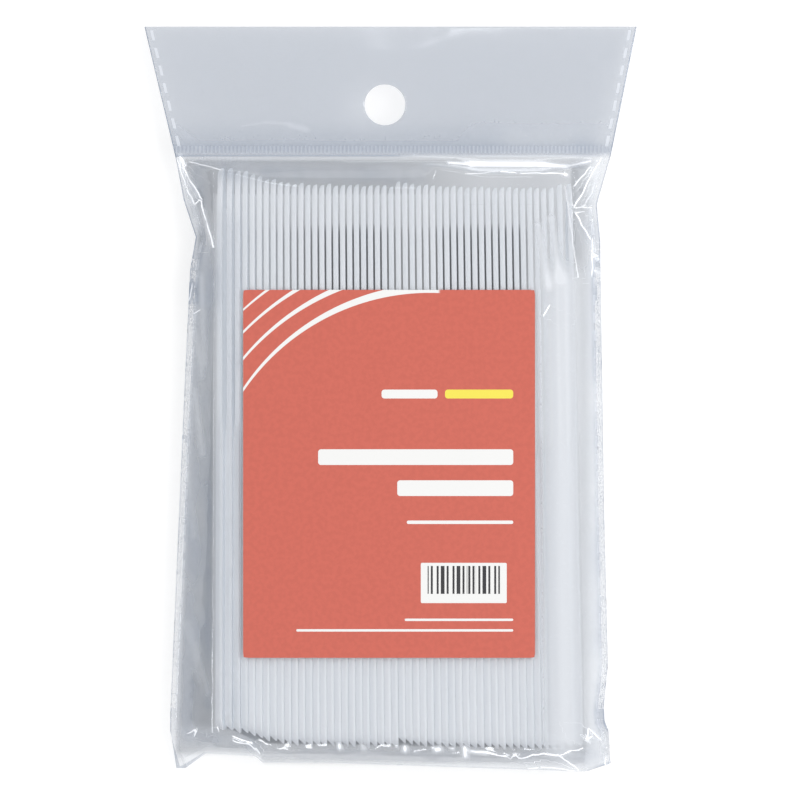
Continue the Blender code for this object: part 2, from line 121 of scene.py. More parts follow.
def makePiece(name, points, faceSets, material, node, sharpFrom=None):
    # fills a mesh from points and sets of equal-sided faces, turned outwards by the volume that they enclose
    faceSets = [f for f in faceSets if len(f)]
    if sum(enclosedVolume(points, f) for f in faceSets) < 0:
        faceSets = [f[:, ::-1] for f in faceSets]
    mesh = bpy.data.meshes.new(name)
    mesh.vertices.add(len(points))
    mesh.vertices.foreach_set("co", (points * metre).astype(np.float32).ravel())
    corners = np.concatenate([f.ravel() for f in faceSets])
    sizes = np.concatenate([np.full(len(f), f.shape[1]) for f in faceSets])
    mesh.loops.add(len(corners))
    mesh.loops.foreach_set("vertex_index", corners.astype(np.int32))
    mesh.polygons.add(len(sizes))
    mesh.polygons.foreach_set("loop_start", np.concatenate([[0], np.cumsum(sizes)[:-1]]).astype(np.int32))
    mesh.update(calc_edges=True)
    mesh.validate()
    mesh.shade_smooth()
    if sharpFrom is not None:
        mesh.set_sharp_from_angle(angle=math.radians(sharpFrom))
    mesh.materials.append(material)
    piece = addObject(name, mesh)
    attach(piece, "root")
    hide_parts(node)
    return piece


# Node materials


class Wire:
    # one output socket, with arithmetic that adds Math nodes
    def __init__(self, shade, socket):
        self.shade = shade
        self.socket = socket

    def math(self, operation, *others):
        inputs = dict(enumerate((self, *others)))
        return self.shade.node("Math", {"operation": operation}, inputs)

    def __add__(self, other):
        return self.math("ADD", other)

    __radd__ = __add__

    def __sub__(self, other):
        return self.math("SUBTRACT", other)

    def __rsub__(self, other):
        return self.shade.node("Math", {"operation": "SUBTRACT"}, {0: other, 1: self})

    def __mul__(self, other):
        return self.math("MULTIPLY", other)

    __rmul__ = __mul__

    def __truediv__(self, other):
        return self.math("DIVIDE", other)

    def __abs__(self):
        return self.math("ABSOLUTE")

    def __pow__(self, other):
        return self.math("POWER", other)

    def above(self, other):
        return self.math("MAXIMUM", other)

    def below(self, other):
        return self.math("MINIMUM", other)

    def root(self):
        return self.math("SQRT")

    def sine(self):
        return self.math("SINE")

    def fraction(self):
        return self.math("FRACT")

    def rise(self, low, high):
        # 0 up to low, 1 from high, softly in between
        span = {"Value": self, "From Min": low, "From Max": high}
        return self.shade.node("MapRange", {"interpolation_type": "SMOOTHSTEP"}, span)

    def between(self, start, full, fade, end):
        # 0 up to start, 1 from full to fade, 0 from end
        return self.rise(start, full) * (1 - self.rise(fade, end))

    def within(self, low, high, soft):
        # 1 from low to high, fading to 0 over the soft distance on both sides
        return self.between(low - soft, low + soft, high - soft, high + soft)

    def other(self, output):
        return Wire(self.shade, self.socket.node.outputs[output])


class Shade:
    # the nodes of a material or world; node() adds one from its type, its settings and the values or wires
    # of its sockets
    def __init__(self, owner):
        owner.use_nodes = True
        self.owner = owner
        self.tree = owner.node_tree
        self.tree.nodes.clear()

    def node(self, kind, settings=None, inputs=None, output=0):
        made = self.tree.nodes.new("ShaderNode" + kind)
        for key, value in (settings or {}).items():
            setattr(made, key, value)
        for key, value in (inputs or {}).items():
            if isinstance(value, Wire):
                self.tree.links.new(value.socket, made.inputs[key])
            else:
                made.inputs[key].default_value = value
        return Wire(self, made.outputs[output]) if len(made.outputs) else made

    def place(self):
        # x, y and z of Object coordinates, in millimetres
        spot = self.node("TexCoord", output="Object")
        split = self.node("SeparateXYZ", None, {0: spot})
        return [split.other(axis) * 1000 for axis in "XYZ"]

    def mix(self, share, first, second):
        inputs = {0: share, 6: first, 7: second}
        return self.node("Mix", {"data_type": "RGBA"}, inputs, output=2)

    def noise(self, scale, detail=3.0, stretch=(1, 1, 1)):
        # noise in Object coordinates; scale is in cells per metre
        spot = self.node("TexCoord", output="Object")
        spot = self.node("Mapping", None, {"Vector": spot, "Scale": stretch})
        return self.node("TexNoise", None, {"Vector": spot, "Scale": scale, "Detail": detail})

    def finish(self, surface, output="OutputMaterial"):
        self.node(output, None, {"Surface": surface})
        if output == "OutputMaterial":
            self.owner.cycles.emission_sampling = "NONE"
        return self.owner


# Knives

knives = {
    "count": 50,
    "pitch": 2.1,
    "tipPitch": 2.03,
    "buttShift": 2.4,
    "tipShift": 0.8,
    "leftStagger": 4.4,
    "leftStaggerKnives": 5.9,
    "secondHandful": 25,  # the first knife of the second handful, which stands a little further up
    "secondRise": 1.2,
    "secondRiseKnives": 3.0,
    "unevenness": 0.35,
    "rightSink": 1.6,
    "endLift": 1.5,
    "endLiftKnives": 1.6,
    "leftLean": math.radians(5.0),
    "rightLean": math.radians(6.0),
    "leanKnives": 1.3,
    "handleThickness": 2.07,
    "web": 0.85,
    "rim": 1.5,
    "ridge": 0.55,  # flat of the spine along the right face
    "ridgeDrop": 0.8,  # fall of the spine from the ridge to the left face
    "spine": 1.5,
    "blade": 0.9,
    "edge": 0.4,
    "depth": 17.0,
    "handleDepth": 15.6,
    "neckDepth": 11.4,
    "handleLength": 86.0,
    "heel": 7.0,
    "belly": 24.0,
    "tipHeight": 2.6,
    "tipDrop": 2.6,
    "toothPitch": 1.6,
    "toothDepth": 0.3,
    "bladeSink": 0.3,  # how far the blade's spine lies below the full depth, until bladeFull
    "bladeFull": 130.0,
    "buttStart": 0.17,  # share of the thickness at the butt, which is full at buttTaper
    "buttTaper": 1.75,
    "buttRound": 4.6,
    "webFrom": 3.4,  # the handle's channel deepens from here to webFull
    "webFull": 6.0,
    "tipRound": 2.2,
    "tipFlat": 0.35,
    "bevel": 0.14,
    "scatter": 1.8,  # reach of light inside the plastic
    "plastic": (0.94, 0.957, 0.98, 1),
    "plasticShade": (0.89, 0.91, 0.94, 1),
    # painted glow that stands in for light carried down into the gaps: at least, and at the row's ends and
    # the tips
    "paintedGlowLeast": (0.03, 0.03, 0.03, 1),
    "paintedGlow": (0.11, 0.115, 0.12, 1),
    "litLeft": (-42.0, -24.0),
    "litRight": (36.0, 45.0),
    "litTips": (48.0, 57.0),
    "litBelow": (13.5, 16.5),
}


def rowPlace(index, pitch, shift):
    return shift + (index - (knives["count"] - 1) / 2) * pitch


def drift(index):
    # the left end rides up, the right end sinks, and the last ones lift again
    last = knives["count"] - 1
    rise = knives["leftStagger"] * np.exp(-((index / knives["leftStaggerKnives"]) ** 2))
    lift = knives["endLift"] * np.exp(-(((last - index) / knives["endLiftKnives"]) ** 2))
    return rise - knives["rightSink"] * index / last + lift


def stagger(index):
    # the drift, the second handful's rise and a little unevenness from knife to knife
    past = index - knives["secondHandful"]
    second = knives["secondRise"] * math.exp(-past / knives["secondRiseKnives"]) if past >= 0 else 0.0
    return drift(index) + second + knives["unevenness"] * math.sin(2.4 * index) * math.sin(0.7 * index)


def leanOf(index):
    last = knives["count"] - 1
    left = knives["leftLean"] * math.exp(-index / knives["leanKnives"])
    right = knives["rightLean"] * math.exp(-(last - index) / knives["leanKnives"])
    return right - left


def rowX(index, y):
    butt = rowPlace(index, knives["pitch"], knives["buttShift"])
    tip = rowPlace(index, knives["tipPitch"], knives["tipShift"])
    return butt + (tip - butt) * (y - buttY) / knifeLength


def rowSide(side, y):
    # outermost x of the knives on one side of the row, with the end knife's lean
    index = 0 if side < 0 else knives["count"] - 1
    reach = knives["handleThickness"] / 2 + knives["depth"] * math.sin(abs(leanOf(index)))
    return rowX(index, y) + side * (reach + 0.2)


def rowDrift(x, y):
    first, last = rowX(0, y), rowX(knives["count"] - 1, y)
    return drift(np.clip((x - first) / (last - first), 0, 1) * (knives["count"] - 1))


def knifeSurface():
    # Rings of 20 points set along the knife. Each point hangs from the spine line or stands on the edge line
    # by its own offset, and lies on the flat right face or as far to the left as the thickness there.
    size = knives
    handle, thick = size["handleLength"], size["handleThickness"]
    heelEnd = handle + size["heel"]
    tipStretch = size["belly"] * 0.3
    along = np.concatenate([
        np.array([0, 0.5, 1.1, size["buttTaper"], 2.5, size["webFrom"], size["buttRound"], size["webFull"]]),
        np.linspace(10, handle, 14),
        np.linspace(handle + 1.2, heelEnd + 3, 7),
        np.arange(heelEnd + 5, knifeLength - tipStretch, size["toothPitch"] / 2),
        knifeLength - tipStretch * (1 - np.sin(np.linspace(0, 0.985, 10) * math.pi / 2)),
        np.array([knifeLength]),
    ])
    handleLow = (size["depth"] - size["handleDepth"]) / 2
    handleHigh = handleLow + size["handleDepth"]
    neckHigh = handleHigh - (size["handleDepth"] - size["neckDepth"]) / 4
    neckLow = neckHigh - size["neckDepth"]
    tipLow = size["depth"] - size["tipDrop"] - size["tipHeight"]
    toBlade = softStep(handle - 3, heelEnd + 2, along)
    taper = np.clip(along / handle, 0, 1) ** 1.4
    fromButt = (1 - along / size["buttRound"]).clip(0, 1)
    rounded = (1 - np.sqrt(1 - fromButt ** 2)) * size["handleDepth"] * 0.24
    high = handleHigh + (neckHigh - handleHigh) * taper - rounded
    low = handleLow + (neckLow - handleLow) * taper + rounded
    belly = np.clip((along - knifeLength + size["belly"]) / size["belly"], 0, 1)
    bladeHigh = size["depth"] - size["bladeSink"] * (1 - softStep(heelEnd, size["bladeFull"], along))
    high = high * (1 - toBlade) + bladeHigh * toBlade - size["tipDrop"] * belly ** 4
    teeth = size["toothDepth"] * (np.round(2 * along / size["toothPitch"]) % 2)
    teeth *= softStep(heelEnd + 4, heelEnd + 8, along) * (1 - belly ** 2)
    low = low * (1 - toBlade) + (tipLow * (1 - np.sqrt(1 - belly ** 2)) + teeth) * toBlade
    fromTip = ((along - knifeLength + size["tipRound"]) / size["tipRound"]).clip(0, 1)
    tipRound = np.sqrt(1 - fromTip ** 2)
    middle = (high + low) / 2
    squeeze = size["tipFlat"] + (1 - size["tipFlat"]) * tipRound
    high = middle + (high - middle) * squeeze
    low = middle + (low - middle) * squeeze
    buttCut = np.clip(size["buttStart"] + (1 - size["buttStart"]) * along / size["buttTaper"], 0, 1)
    plan = 0.3 + 0.7 * tipRound
    full = (thick * (1 - toBlade) + size["spine"] * toBlade) * buttCut * plan
    solid = 1 - softStep(size["webFrom"], size["webFull"], along)
    web = (size["web"] + (thick - size["web"]) * solid) * (1 - toBlade)
    web = np.minimum(web + size["blade"] * toBlade, full) * (0.7 + 0.3 * tipRound)
    edge = np.minimum(full, thick * (1 - toBlade) + size["edge"] * toBlade)
    edgeWeb = np.minimum(full, np.maximum(web, edge))
    rim = np.minimum(size["rim"], (high - low) * 0.3)
    drop = size["ridgeDrop"] * (1 - 0.75 * toBlade) * plan
    flat = np.zeros_like(along)
    bevel = np.minimum(size["bevel"], full * 0.3)
    ridge = np.minimum(size["ridge"], full * 0.4)
    # each row below is (x inwards from the right face, z)
    ring = [
        (flat, low + bevel),
        (flat, low + rim),
        (flat, middle),
        (flat, high - rim),
        (flat, high - bevel),
        (bevel * 0.35, high - bevel * 0.3),
        (bevel, high),
        (ridge, high),
        (ridge + 0.25 * (full - ridge), high - drop * 0.35),
        (full - bevel * 1.2, high - drop),
        (full - bevel * 0.2, high - drop - bevel * 0.5),
        (full, high - drop - bevel * 1.4),
        (full, high - rim),
        (web, high - rim - np.minimum(0.45, rim * 0.3)),
        (web, middle),
        (edgeWeb, low + rim + np.minimum(2.6 * toBlade + 0.45, rim * 1.6)),
        (edge, low + rim * (1 - toBlade) + 0.35 * toBlade),
        (edge, low + bevel),
        (edge * 0.7, low),
        (edge * 0.3, low),
    ]
    x = np.stack([thick / 2 - inward for inward, _ in ring], axis=1)
    z = np.stack([height for _, height in ring], axis=1)
    y = np.repeat(along[:, None], len(ring), axis=1)
    return np.stack([x, y, z], axis=-1)


def knifePoints(surface, index):
    # leans the knife about its length, turns it by its place in the fan and sets it down in the bag
    lean = leanOf(index)
    butt = rowX(index, buttY)
    yaw = math.atan2(butt - rowX(index, tipY), knifeLength)
    x, y, z = surface[..., 0], surface[..., 1], surface[..., 2]
    leaned = x * math.cos(lean) + z * math.sin(lean)
    up = z * math.cos(lean) - x * math.sin(lean)
    across = leaned * math.cos(yaw) - y * math.sin(yaw) + butt
    forward = leaned * math.sin(yaw) + y * math.cos(yaw) + buttY + stagger(index)
    return np.stack([across, forward, up + pack["knifeBase"]], axis=-1).reshape(-1, 3)


def plasticFinish():
    shade = Shade(bpy.data.materials.new("White plastic"))
    streak = shade.noise(260, 4.0, (1.6, 0.05, 0.4))
    grain = shade.noise(2600, 2.0)
    colour = shade.mix(streak.rise(0.3, 0.7), knives["plasticShade"], knives["plastic"])
    # where the painted glow is brighter: at the row's ends and the tips, and below the spines
    x, y, z = shade.place()
    ends = (1 - x.rise(*knives["litLeft"])).above(x.rise(*knives["litRight"]))
    lit = ends.above(y.rise(*knives["litTips"])) * (1 - z.rise(*knives["litBelow"]))
    bump = shade.node("Bump", None, {"Strength": 0.12, "Distance": 0.0001, "Height": grain})
    surface = shade.node("BsdfPrincipled", None, {
        "Base Color": colour,
        "Roughness": 0.26 + 0.16 * streak,
        "IOR": 1.49,
        "Subsurface Weight": 0.6,
        "Subsurface Radius": [knives["scatter"] * metre] * 3,
        "Subsurface Scale": 1.0,
        "Emission Color": shade.mix(lit, knives["paintedGlowLeast"], knives["paintedGlow"]),
        "Emission Strength": 1.0,
        "Normal": bump,
    })
    return shade.finish(surface)


def addKnives():
    material = plasticFinish()
    surface = knifeSurface()
    rows, ring = surface.shape[:2]
    numbers = np.arange(rows * ring).reshape(rows, ring)
    sides = gridFaces(np.concatenate([numbers, numbers[:, :1]], axis=1))
    caps = np.stack([numbers[0][::-1], numbers[-1]])
    for index in range(knives["count"]):
        points = knifePoints(surface, index)
        name = f"knife_{index + 1:02d}"
        makePiece(f"Knife{index + 1:02d}", points, [sides, caps], material, name, 40)
    print("knives:", knives["count"], "with", len(sides), "faces each")


# Film bag

film = {
    "columnsPerSlope": 26,
    "columnsOverRow": 130,
    "headerRows": 70,
    "shoulderRows": 33,
    "panelRows": 141,
    "footRows": 27,
    "backEvery": 3,  # one back row for so many front rows below the seal
    "mouthRows": 12,  # front rows above the fold that have no back row, where the mouth is
    "shoulderLength": 14,
    "sideEase": 1.25,  # above 1 the film rounds over the end knives
    "headerDroop": 4.5,
    "headerBow": 1.6,
    "skin": 0.12,
    "lipSkin": 0.22,
    "lipWrap": 3.6,
    "noseFall": 0.58,  # share of the height lost round the foot
    "holeRadius": 6.0,
    "holeCells": 9,
    "holeDrop": 23.4,
    "holeShift": -1.6,
    "puckers": 0.22,
    "panelWaves": 0.10,
    "headerWaves": 0.35,
    "cornerFolds": 0.55,
    "footFolds": 0.75,
    "tint": (0.936, 0.948, 0.966, 1),
    "backTint": (0.98, 0.982, 0.985, 1),
    "gloss": 0.05,
    "spark": 0.6,  # glow of a glint
    "ribs": (35.3, 37.4, 0.15),
    "ribPitch": 1.15,
    "dotPitch": 0.65,
    "dashPitch": 5.2,
    "dashFainter": (37.0, 38.5),
    "mirror": 0.075,  # share mirrored straight on; it climbs towards the rim of a fold
    "haze": 0.02,  # share of grey in a layer of the pouch
    # grey in the header's film, partly painted shade
    "headerHazeAndShade": 0.35,
    # colours of the painted glare, and of the grey haze with painted shade
    "paintedGlare": (0.88, 0.91, 0.96, 1),
    "hazeAndShade": (0.23, 0.29, 0.40, 1),
}
# stand-out of the side edges past the row, against the distance below the seal line
leftMargin = np.array([
    (0, 11.7), (13, 9.2), (24, 5.6), (33.6, 7.3), (72, 9.1), (163, 13), (171, 13.1), (180, 10.5),
])
rightMargin = np.array([
    (0, 11.4), (14.4, 7), (24.5, 7.8), (107, 7.4), (150, 7.6), (162, 6.1), (167.5, 6.3), (171.5, 8.6),
    (179, 7.6),
])
# how far the folded bottom stops short of its lowest point, against the distance from the left edge
bottomRise = np.array([
    (2.5, 0.9), (9.5, 5.2), (24.5, 4.4), (26.5, 2.5), (47, 2.4), (118, 0), (122, 0), (129.5, 2.7),
])
# the shoulder's right half, flat below the seal line and then steep: distance below it, share climbed
puffedClimb = np.array([
    (0, 0), (1.2, 0.05), (3.6, 0.165), (4.2, 0.4), (4.9, 0.72), (5.5, 0.9), (6.2, 0.97), (7.4, 1),
])
# creases of the front: start, end, half width, height, and how strong a glint is painted on the crest
creases = np.array([
    (62, 70.9, 53.8, 56, 1.6, 0.9, 0.95), (58.8, 68.3, 53.8, 62.4, 1.3, 0.8, 0.7),
    (60, 62.4, 57.3, 57.7, 1.2, 0.5, 0.5), (53.8, 56, 58.8, 56.3, 0.9, 0.4, 0.6),
    (54.1, 54.8, 58.5, 47.2, 1.2, 0.7, 0.9), (59.3, 46.9, 59.5, 42.8, 0.9, 0.5, 0.95),
    (59.5, 42.8, 61, 42.2, 0.8, 0.4, 0.95), (59.5, 42.8, 59.5, 36.3, 0.8, 0.4, 0.85),
    (51.2, 62.4, 55, 35.4, 0.6, 0.12, 0.42), (45, 24.3, 46.5, 27.2, 0.5, 0.1, 0.95),
    (22.1, 66.1, 30.9, 66.5, 0.6, 0.04, 0.6), (30.9, 66.5, 38, 66.4, 0.6, 0.04, 0.95),
    (38, 66.4, 51, 65.9, 0.6, 0.04, 0.9), (-62.3, 71.8, -60.3, 69.2, 0.8, 0.3, 0.9),
    (-61.7, 70.9, -59.1, 64.8, 0.9, 0.5, 0.85), (-59.1, 64.8, -55.6, 58.6, 0.9, 0.6, 0.9),
    (-62.6, 70.3, -60, 62.4, 0.9, 0.5, 0.7), (-60, 62.4, -57.6, 57.1, 0.9, 0.5, 0.8),
    (-57.6, 57.1, -55.9, 58.3, 0.8, 0.4, 0.8), (-55.9, 58.3, -54.1, 51.3, 1, 0.6, 0.9),
    (-54.1, 51.3, -51.8, 44.2, 1, 0.5, 0.9), (-59.1, 69.8, -49.4, 67.1, 0.7, 0.3, 0.55),
    (-58.2, 33.7, -59.4, 29, 0.7, 0.3, 0.6), (-57.6, 25.2, -56.2, 26, 0.6, 0.25, 0.6),
    (-46.2, -98.9, -41.5, -100.6, 0.8, 0.35, 0.85), (-42, -101, -39.4, -103.2, 0.7, 0.35, 0.7),
    (-39.4, -102.6, -38.6, -104.4, 0.7, 0.4, 0.7), (-38.3, -99.8, -35.9, -101.3, 0.7, 0.35, 0.7),
    (-50.9, -96.2, -50.5, -97.4, 0.6, 0.3, 0.9), (-59.5, -98.4, -57, -97, 0.7, 0.3, 0.6),
    (-57, -97, -57.4, -98.9, 0.7, 0.3, 0.9), (-46, -100.2, -42.6, -101.2, 0.6, 0.3, 0.7),
    (-38.9, -100.1, -35.9, -101, 0.6, 0.3, 0.6), (23.8, -103.4, 34.2, -105, 0.9, 0.5, 0.85),
    (35.4, -105.3, 36.5, -104, 0.7, 0.4, 0.8), (36.5, -104, 37.7, -105.4, 0.7, 0.4, 0.8),
    (38.5, -105.4, 44.8, -103.9, 0.9, 0.6, 0.95), (44.8, -103.9, 49.7, -104.7, 0.9, 0.6, 0.95),
    (49.7, -104.7, 55.4, -109.2, 0.8, 0.5, 0.8), (40.4, -108.7, 44.3, -108.1, 0.8, 0.4, 0.85),
    (44.3, -108.1, 54.1, -109.4, 0.8, 0.4, 0.85), (58.2, -96.7, 61.9, -100.1, 0.8, 0.5, 0.75),
    (58.2, -96.7, 57.5, -100.1, 0.8, 0.5, 0.85), (57.5, -100.1, 59, -99.2, 0.8, 0.4, 0.9),
])
# veils over the front that paint shade in grey, glare and highlights in white, and glints as light alone:
# start, end, half width, share, and tone: grey 0 to white 1, or 2 for light
paintedVeils = np.array([
    (-57.5, 66, -55, 30, 4, 0.32, 0.1), (-57.5, 40, -59, -92, 5, 0.42, 0.2),
    (-53.5, 50, -53.5, -90, 1.6, 0.16, 0), (-48.5, 54, -48.5, -90, 2.6, 0.2, 0.85),
    (-57.3, 20, -55.4, 7, 0.8, 0.22, 0.95), (-57.6, 2, -55.2, -16, 0.9, 0.26, 0.95),
    (-59.8, -22, -58, -40, 1.2, 0.14, 0.95), (-60, -66, -53.5, -86, 1.3, 0.2, 0.95),
    (-59.6, 65, -57.4, 60, 1, 0.4, 0.98), (-54.8, 55, -52.4, 46, 0.9, 0.4, 0.98),
    (60, 50, 60.5, -112, 3.2, 0.3, 0.5), (50.5, 34, 51.5, -99, 6, 0.8, 1),
    (61, 40, 62.8, -95, 2.6, 0.3, 0.3), (-48, 66.5, 8, 65.5, 2.6, 0.24, 0.15),
    (57, 74, 58, 48, 4, 0.2, 0.4), (17, 69.4, 24, 69, 0.6, 0.85, 1),
    (23.5, 69, 45, 68.9, 1.15, 0.95, 1), (45, 68.9, 51.5, 68.2, 1, 0.95, 1),
    (51.5, 68.2, 58.8, 69.9, 0.55, 0.85, 1), (51, 65.9, 51.6, 65.7, 0.7, 0.95, 1),
    (-61, 68.5, -57, 59.5, 0.8, 0.3, 1), (-44, 80.2, -37, 81.3, 1.3, 0.62, 2),
    (-37, 81.3, -30, 81, 1.7, 0.63, 2), (-30, 80.6, -24.5, 79.2, 2.7, 0.64, 2),
    (26, 78, 62, 78, 4, 0.12, 0.95), (-72, 73.6, 64, 73.6, 1.5, 0.22, 0.1),
    (-66, 76, 30, 76, 4.2, 0.11, 0.05), (-62.9, 79.7, -55.9, 73.6, 0.9, 0.25, 1),
    (43.3, 50.7, 46.2, 33.1, 1.2, 0.55, 1), (47.1, 53, 49.7, 35.4, 1.3, 0.55, 1),
    (60.1, 41.6, 61.2, 41.4, 0.8, 0.95, 1), (60.2, 37.4, 61.3, 37.1, 0.8, 0.95, 1),
    (-45.5, 50, -45.5, -92, 3.5, 0.07, 0), (-55.6, 36, -54.6, 10, 0.9, 0.25, 0.9),
    (-38, -104, 58, -106, 3.2, 0.38, 0.62), (-60, -99, -42, -101.5, 3.6, 0.34, 0.4),
    (-15, -101.5, -14.8, -102.4, 0.7, 0.9, 1), (-8.1, -101.8, -7.8, -102.6, 0.7, 0.6, 1),
    (4.3, -102.2, 4.3, -103, 0.8, 0.95, 1), (13.4, -103, 14.4, -102.8, 0.9, 0.95, 1),
    (17.8, -102.6, 18.4, -102.7, 0.4, 0.9, 1), (21.8, -102.4, 22.1, -104.9, 0.8, 0.95, 1),
    (22.5, -103.3, 28, -104, 0.6, 0.7, 1), (57.6, -99.4, 58.2, -100.2, 0.7, 0.6, 1),
])


def marginAt(table, distance):
    return np.interp(distance, table[:, 0], table[:, 1])


def sideEdge(side, y):
    # flared header above the seal line, the pouch's fin below it
    table = leftMargin if side < 0 else rightMargin
    atSeal = rowSide(side, sealY) + side * table[0, 1]
    share = (y - sealY) / pack["headerHeight"]
    header = atSeal + (side * pack["headerTopWidth"] / 2 - atSeal) * share
    return np.where(y >= sealY, header, rowSide(side, y) + side * marginAt(table, sealY - y))


def bottomEdge(x):
    return bottomY + marginAt(bottomRise, x - sideEdge(-1, buttY))


def columnsAt(y):
    # x of every column at each y: a narrow fin, the side's slope, the row of knives, and the same again
    left, right = sideEdge(-1, y), sideEdge(1, y)
    flare = (right - left) / (sideEdge(1, sealY) - sideEdge(-1, sealY))
    inPouch = np.minimum(y, sealY)
    grow = np.where(y > sealY, flare, 1.0)
    low, high = rowSide(-1, inPouch) * grow, rowSide(1, inPouch) * grow
    slope = np.linspace(0, 1, film["columnsPerSlope"] + 1)
    row = np.linspace(0, 1, film["columnsOverRow"] + 1)[1:]
    return np.concatenate([
        left[:, None] + (low - left)[:, None] * slope,
        low[:, None] + (high - low)[:, None] * row,
        high[:, None] + (right - high)[:, None] * slope[1:],
    ], axis=1)


def sideShare(x, y):
    # 0 at the weld lines, 1 over the row of knives
    leftWeld = sideEdge(-1, y) + pack["weldWidth"]
    rightWeld = sideEdge(1, y) - pack["weldWidth"]
    low, high = rowSide(-1, y), rowSide(1, y)
    return np.clip(np.minimum((x - leftWeld) / (low - leftWeld), (rightWeld - x) / (rightWeld - high)), 0, 1)


def weldZ(y):
    fall = np.clip((sealY - y) / pack["tipSpace"], 0, 1)
    upper = pack["sealHeight"] + (pack["weldHeight"] - pack["sealHeight"]) * fall
    foot = np.clip((buttY + pack["footSpace"] - y) / (2 * pack["footSpace"]), 0, 1)
    return upper + (pack["cornerHeight"] - upper) * foot * foot


def creaseField(x, y):
    # each crease is a tent over a slightly crooked line, fading at its ends; also the distance to the
    # nearest crest and how strong a glint is painted on it
    height, crestGlintShare = np.zeros_like(x), np.zeros_like(x)
    gap = np.full_like(x, 9.0)
    crook = 0.2 * softNoise(x, y, 3.0, 71) + 0.2 * softNoise(x, y, 1.6, 73)
    for x0, y0, x1, y1, width, tall, white in creases:
        dx, dy = x1 - x0, y1 - y0
        length = math.hypot(dx, dy)
        along = ((x - x0) * dx + (y - y0) * dy) / length
        aside = ((y - y0) * dx - (x - x0) * dy) / length + crook
        fade = softStep(-0.8, 0.4, along) * (1 - softStep(length - 0.4, length + 0.8, along))
        height += tall * fade * np.clip(1 - np.abs(aside) / width, 0, 1)
        nearer = (fade > 0) & (np.abs(aside) < np.abs(gap))
        gap = np.where(nearer, aside, gap)
        crestGlintShare = np.where(nearer, white * fade, crestGlintShare)
    return height, gap, crestGlintShare


def sineClimb(y, reach):
    return np.sin(np.clip((sealY - y) / reach, 0, 1) ** pack["shoulderEase"] * math.pi / 2)


def sideClimb(share):
    return 1 - (1 - share) ** film["sideEase"]


def climbAt(x, y):
    # share of the rise from the seal line to the row's top: a sine, and the puffed profile in the right half
    sine = sineClimb(y, pack["tipSpace"] + pack["shoulder"] - rowDrift(x, sealY))
    middle = softStep(10, 28, x) * (1 - softStep(42, 60, x))
    below = (sealY - y) * (1.7 - 0.7 * middle)
    puffed = np.interp(below, puffedClimb[:, 0], puffedClimb[:, 1])
    share = softStep(8, 14, x) * (1 - softStep(55, 60, x))
    return sine + (puffed - sine) * share


def paintedVeilShares(x, y):
    # painted glare in white and painted shade in grey over the film, with the film's own grey haze: each
    # veil fades from its line by e to the minus square of the distance; the narrow white ones are painted
    # glints as well
    paintedGlare, hazeAndShade, glint = np.zeros_like(x), np.zeros_like(x), np.zeros_like(x)
    for x0, y0, x1, y1, width, share, tone in paintedVeils:
        dx, dy = x1 - x0, y1 - y0
        along = np.clip(((x - x0) * dx + (y - y0) * dy) / (dx * dx + dy * dy), 0, 1)
        apart = np.hypot(x - x0 - along * dx, y - y0 - along * dy) / width
        weight = share * np.exp(-apart * apart)
        paintedGlare += tone * weight * (tone <= 1)
        hazeAndShade += (1 - tone) * weight * (tone <= 1)
        glint = np.maximum(glint, weight * (tone > 1 or tone == 1 and width < 1.4))
    # the film's own grey haze, far more in the header, where it is partly painted shade
    grey = film["haze"] + (film["headerHazeAndShade"] - film["haze"]) * softStep(sealY - 1, sealY + 1, y)
    blotch = 0.4 * softNoise(x, y * 0.35, 4.0, 51) + 0.2 * softNoise(x, y * 0.6, 2.2, 52)
    blotch = 1 + blotch * (y < sealY)
    return paintedGlare, hazeAndShade * blotch + grey, glint


def wrinkles(x, y, share):
    # puckers along the welds, slow waves over the row, and folds in the four corners
    bell = 4 * share * (1 - share)
    side = bell * film["puckers"] * foldNoise(x * 0.35, y, 6.5, 11)
    side += bell * 0.5 * film["puckers"] * foldNoise(x * 0.6, y, 3.1, 12)
    waves = film["panelWaves"] * softNoise(x, y * 0.4, 9.0, 13) * share
    corner = np.exp(-(((np.abs(x) - 55) / 9) ** 2) - ((y - sealY + 9) / 9) ** 2)
    folds = film["cornerFolds"] * corner * foldNoise(x, y, 5.0, 14)
    foot = softStep(buttY + 3, buttY - 3, y)
    folds += film["footFolds"] * foot * foldNoise(x, y * 1.6, 6.0, 15) * 0.6
    folds += film["footFolds"] * foot * foldNoise(x, y * 1.3, 2.6, 16) * 0.25
    return side + waves + folds


def headerZ(x, y):
    up = np.clip((y - sealY) / pack["headerHeight"], 0, 1)
    bow = film["headerBow"] * np.cos(math.pi * x / pack["headerTopWidth"]) * np.sin(math.pi * up)
    waves = film["headerWaves"] * softNoise(x, y, 24.0, 21) * np.sin(math.pi * up * 0.5)
    waves += 0.12 * film["headerWaves"] * foldNoise(x, y, 11.0, 22) * np.sin(math.pi * up * 0.5)
    return pack["sealHeight"] - film["headerDroop"] * up * up + bow + waves


def frontZ(x, y):
    # the film stands on the row and slopes to the welds and the seal; a product of both climbs rounds
    # the corners
    share = sideShare(x, y)
    climb = climbAt(x, y)
    base = weldZ(y)
    folds = wrinkles(x, y, share) * climb + creaseField(x, y)[0] * np.minimum(climb * 2, 1)
    return base + (pack["frontHeight"] - base) * sideClimb(share) * climb + folds


def backZ(x, y):
    share = sideShare(x, y)
    climb = sineClimb(y, pack["tipSpace"] + pack["shoulder"])
    base = weldZ(y)
    clear = softStep(bottomY + pack["lipLength"], bottomY + 2 * pack["lipLength"], y)
    floor = pack["backHeight"] * (1 - clear)
    sag = 0.25 * (1 - share) * share * foldNoise(x * 0.4, y, 7.0, 31)
    return base + (floor - base) * sideClimb(share) * climb + sag * 4 * climb


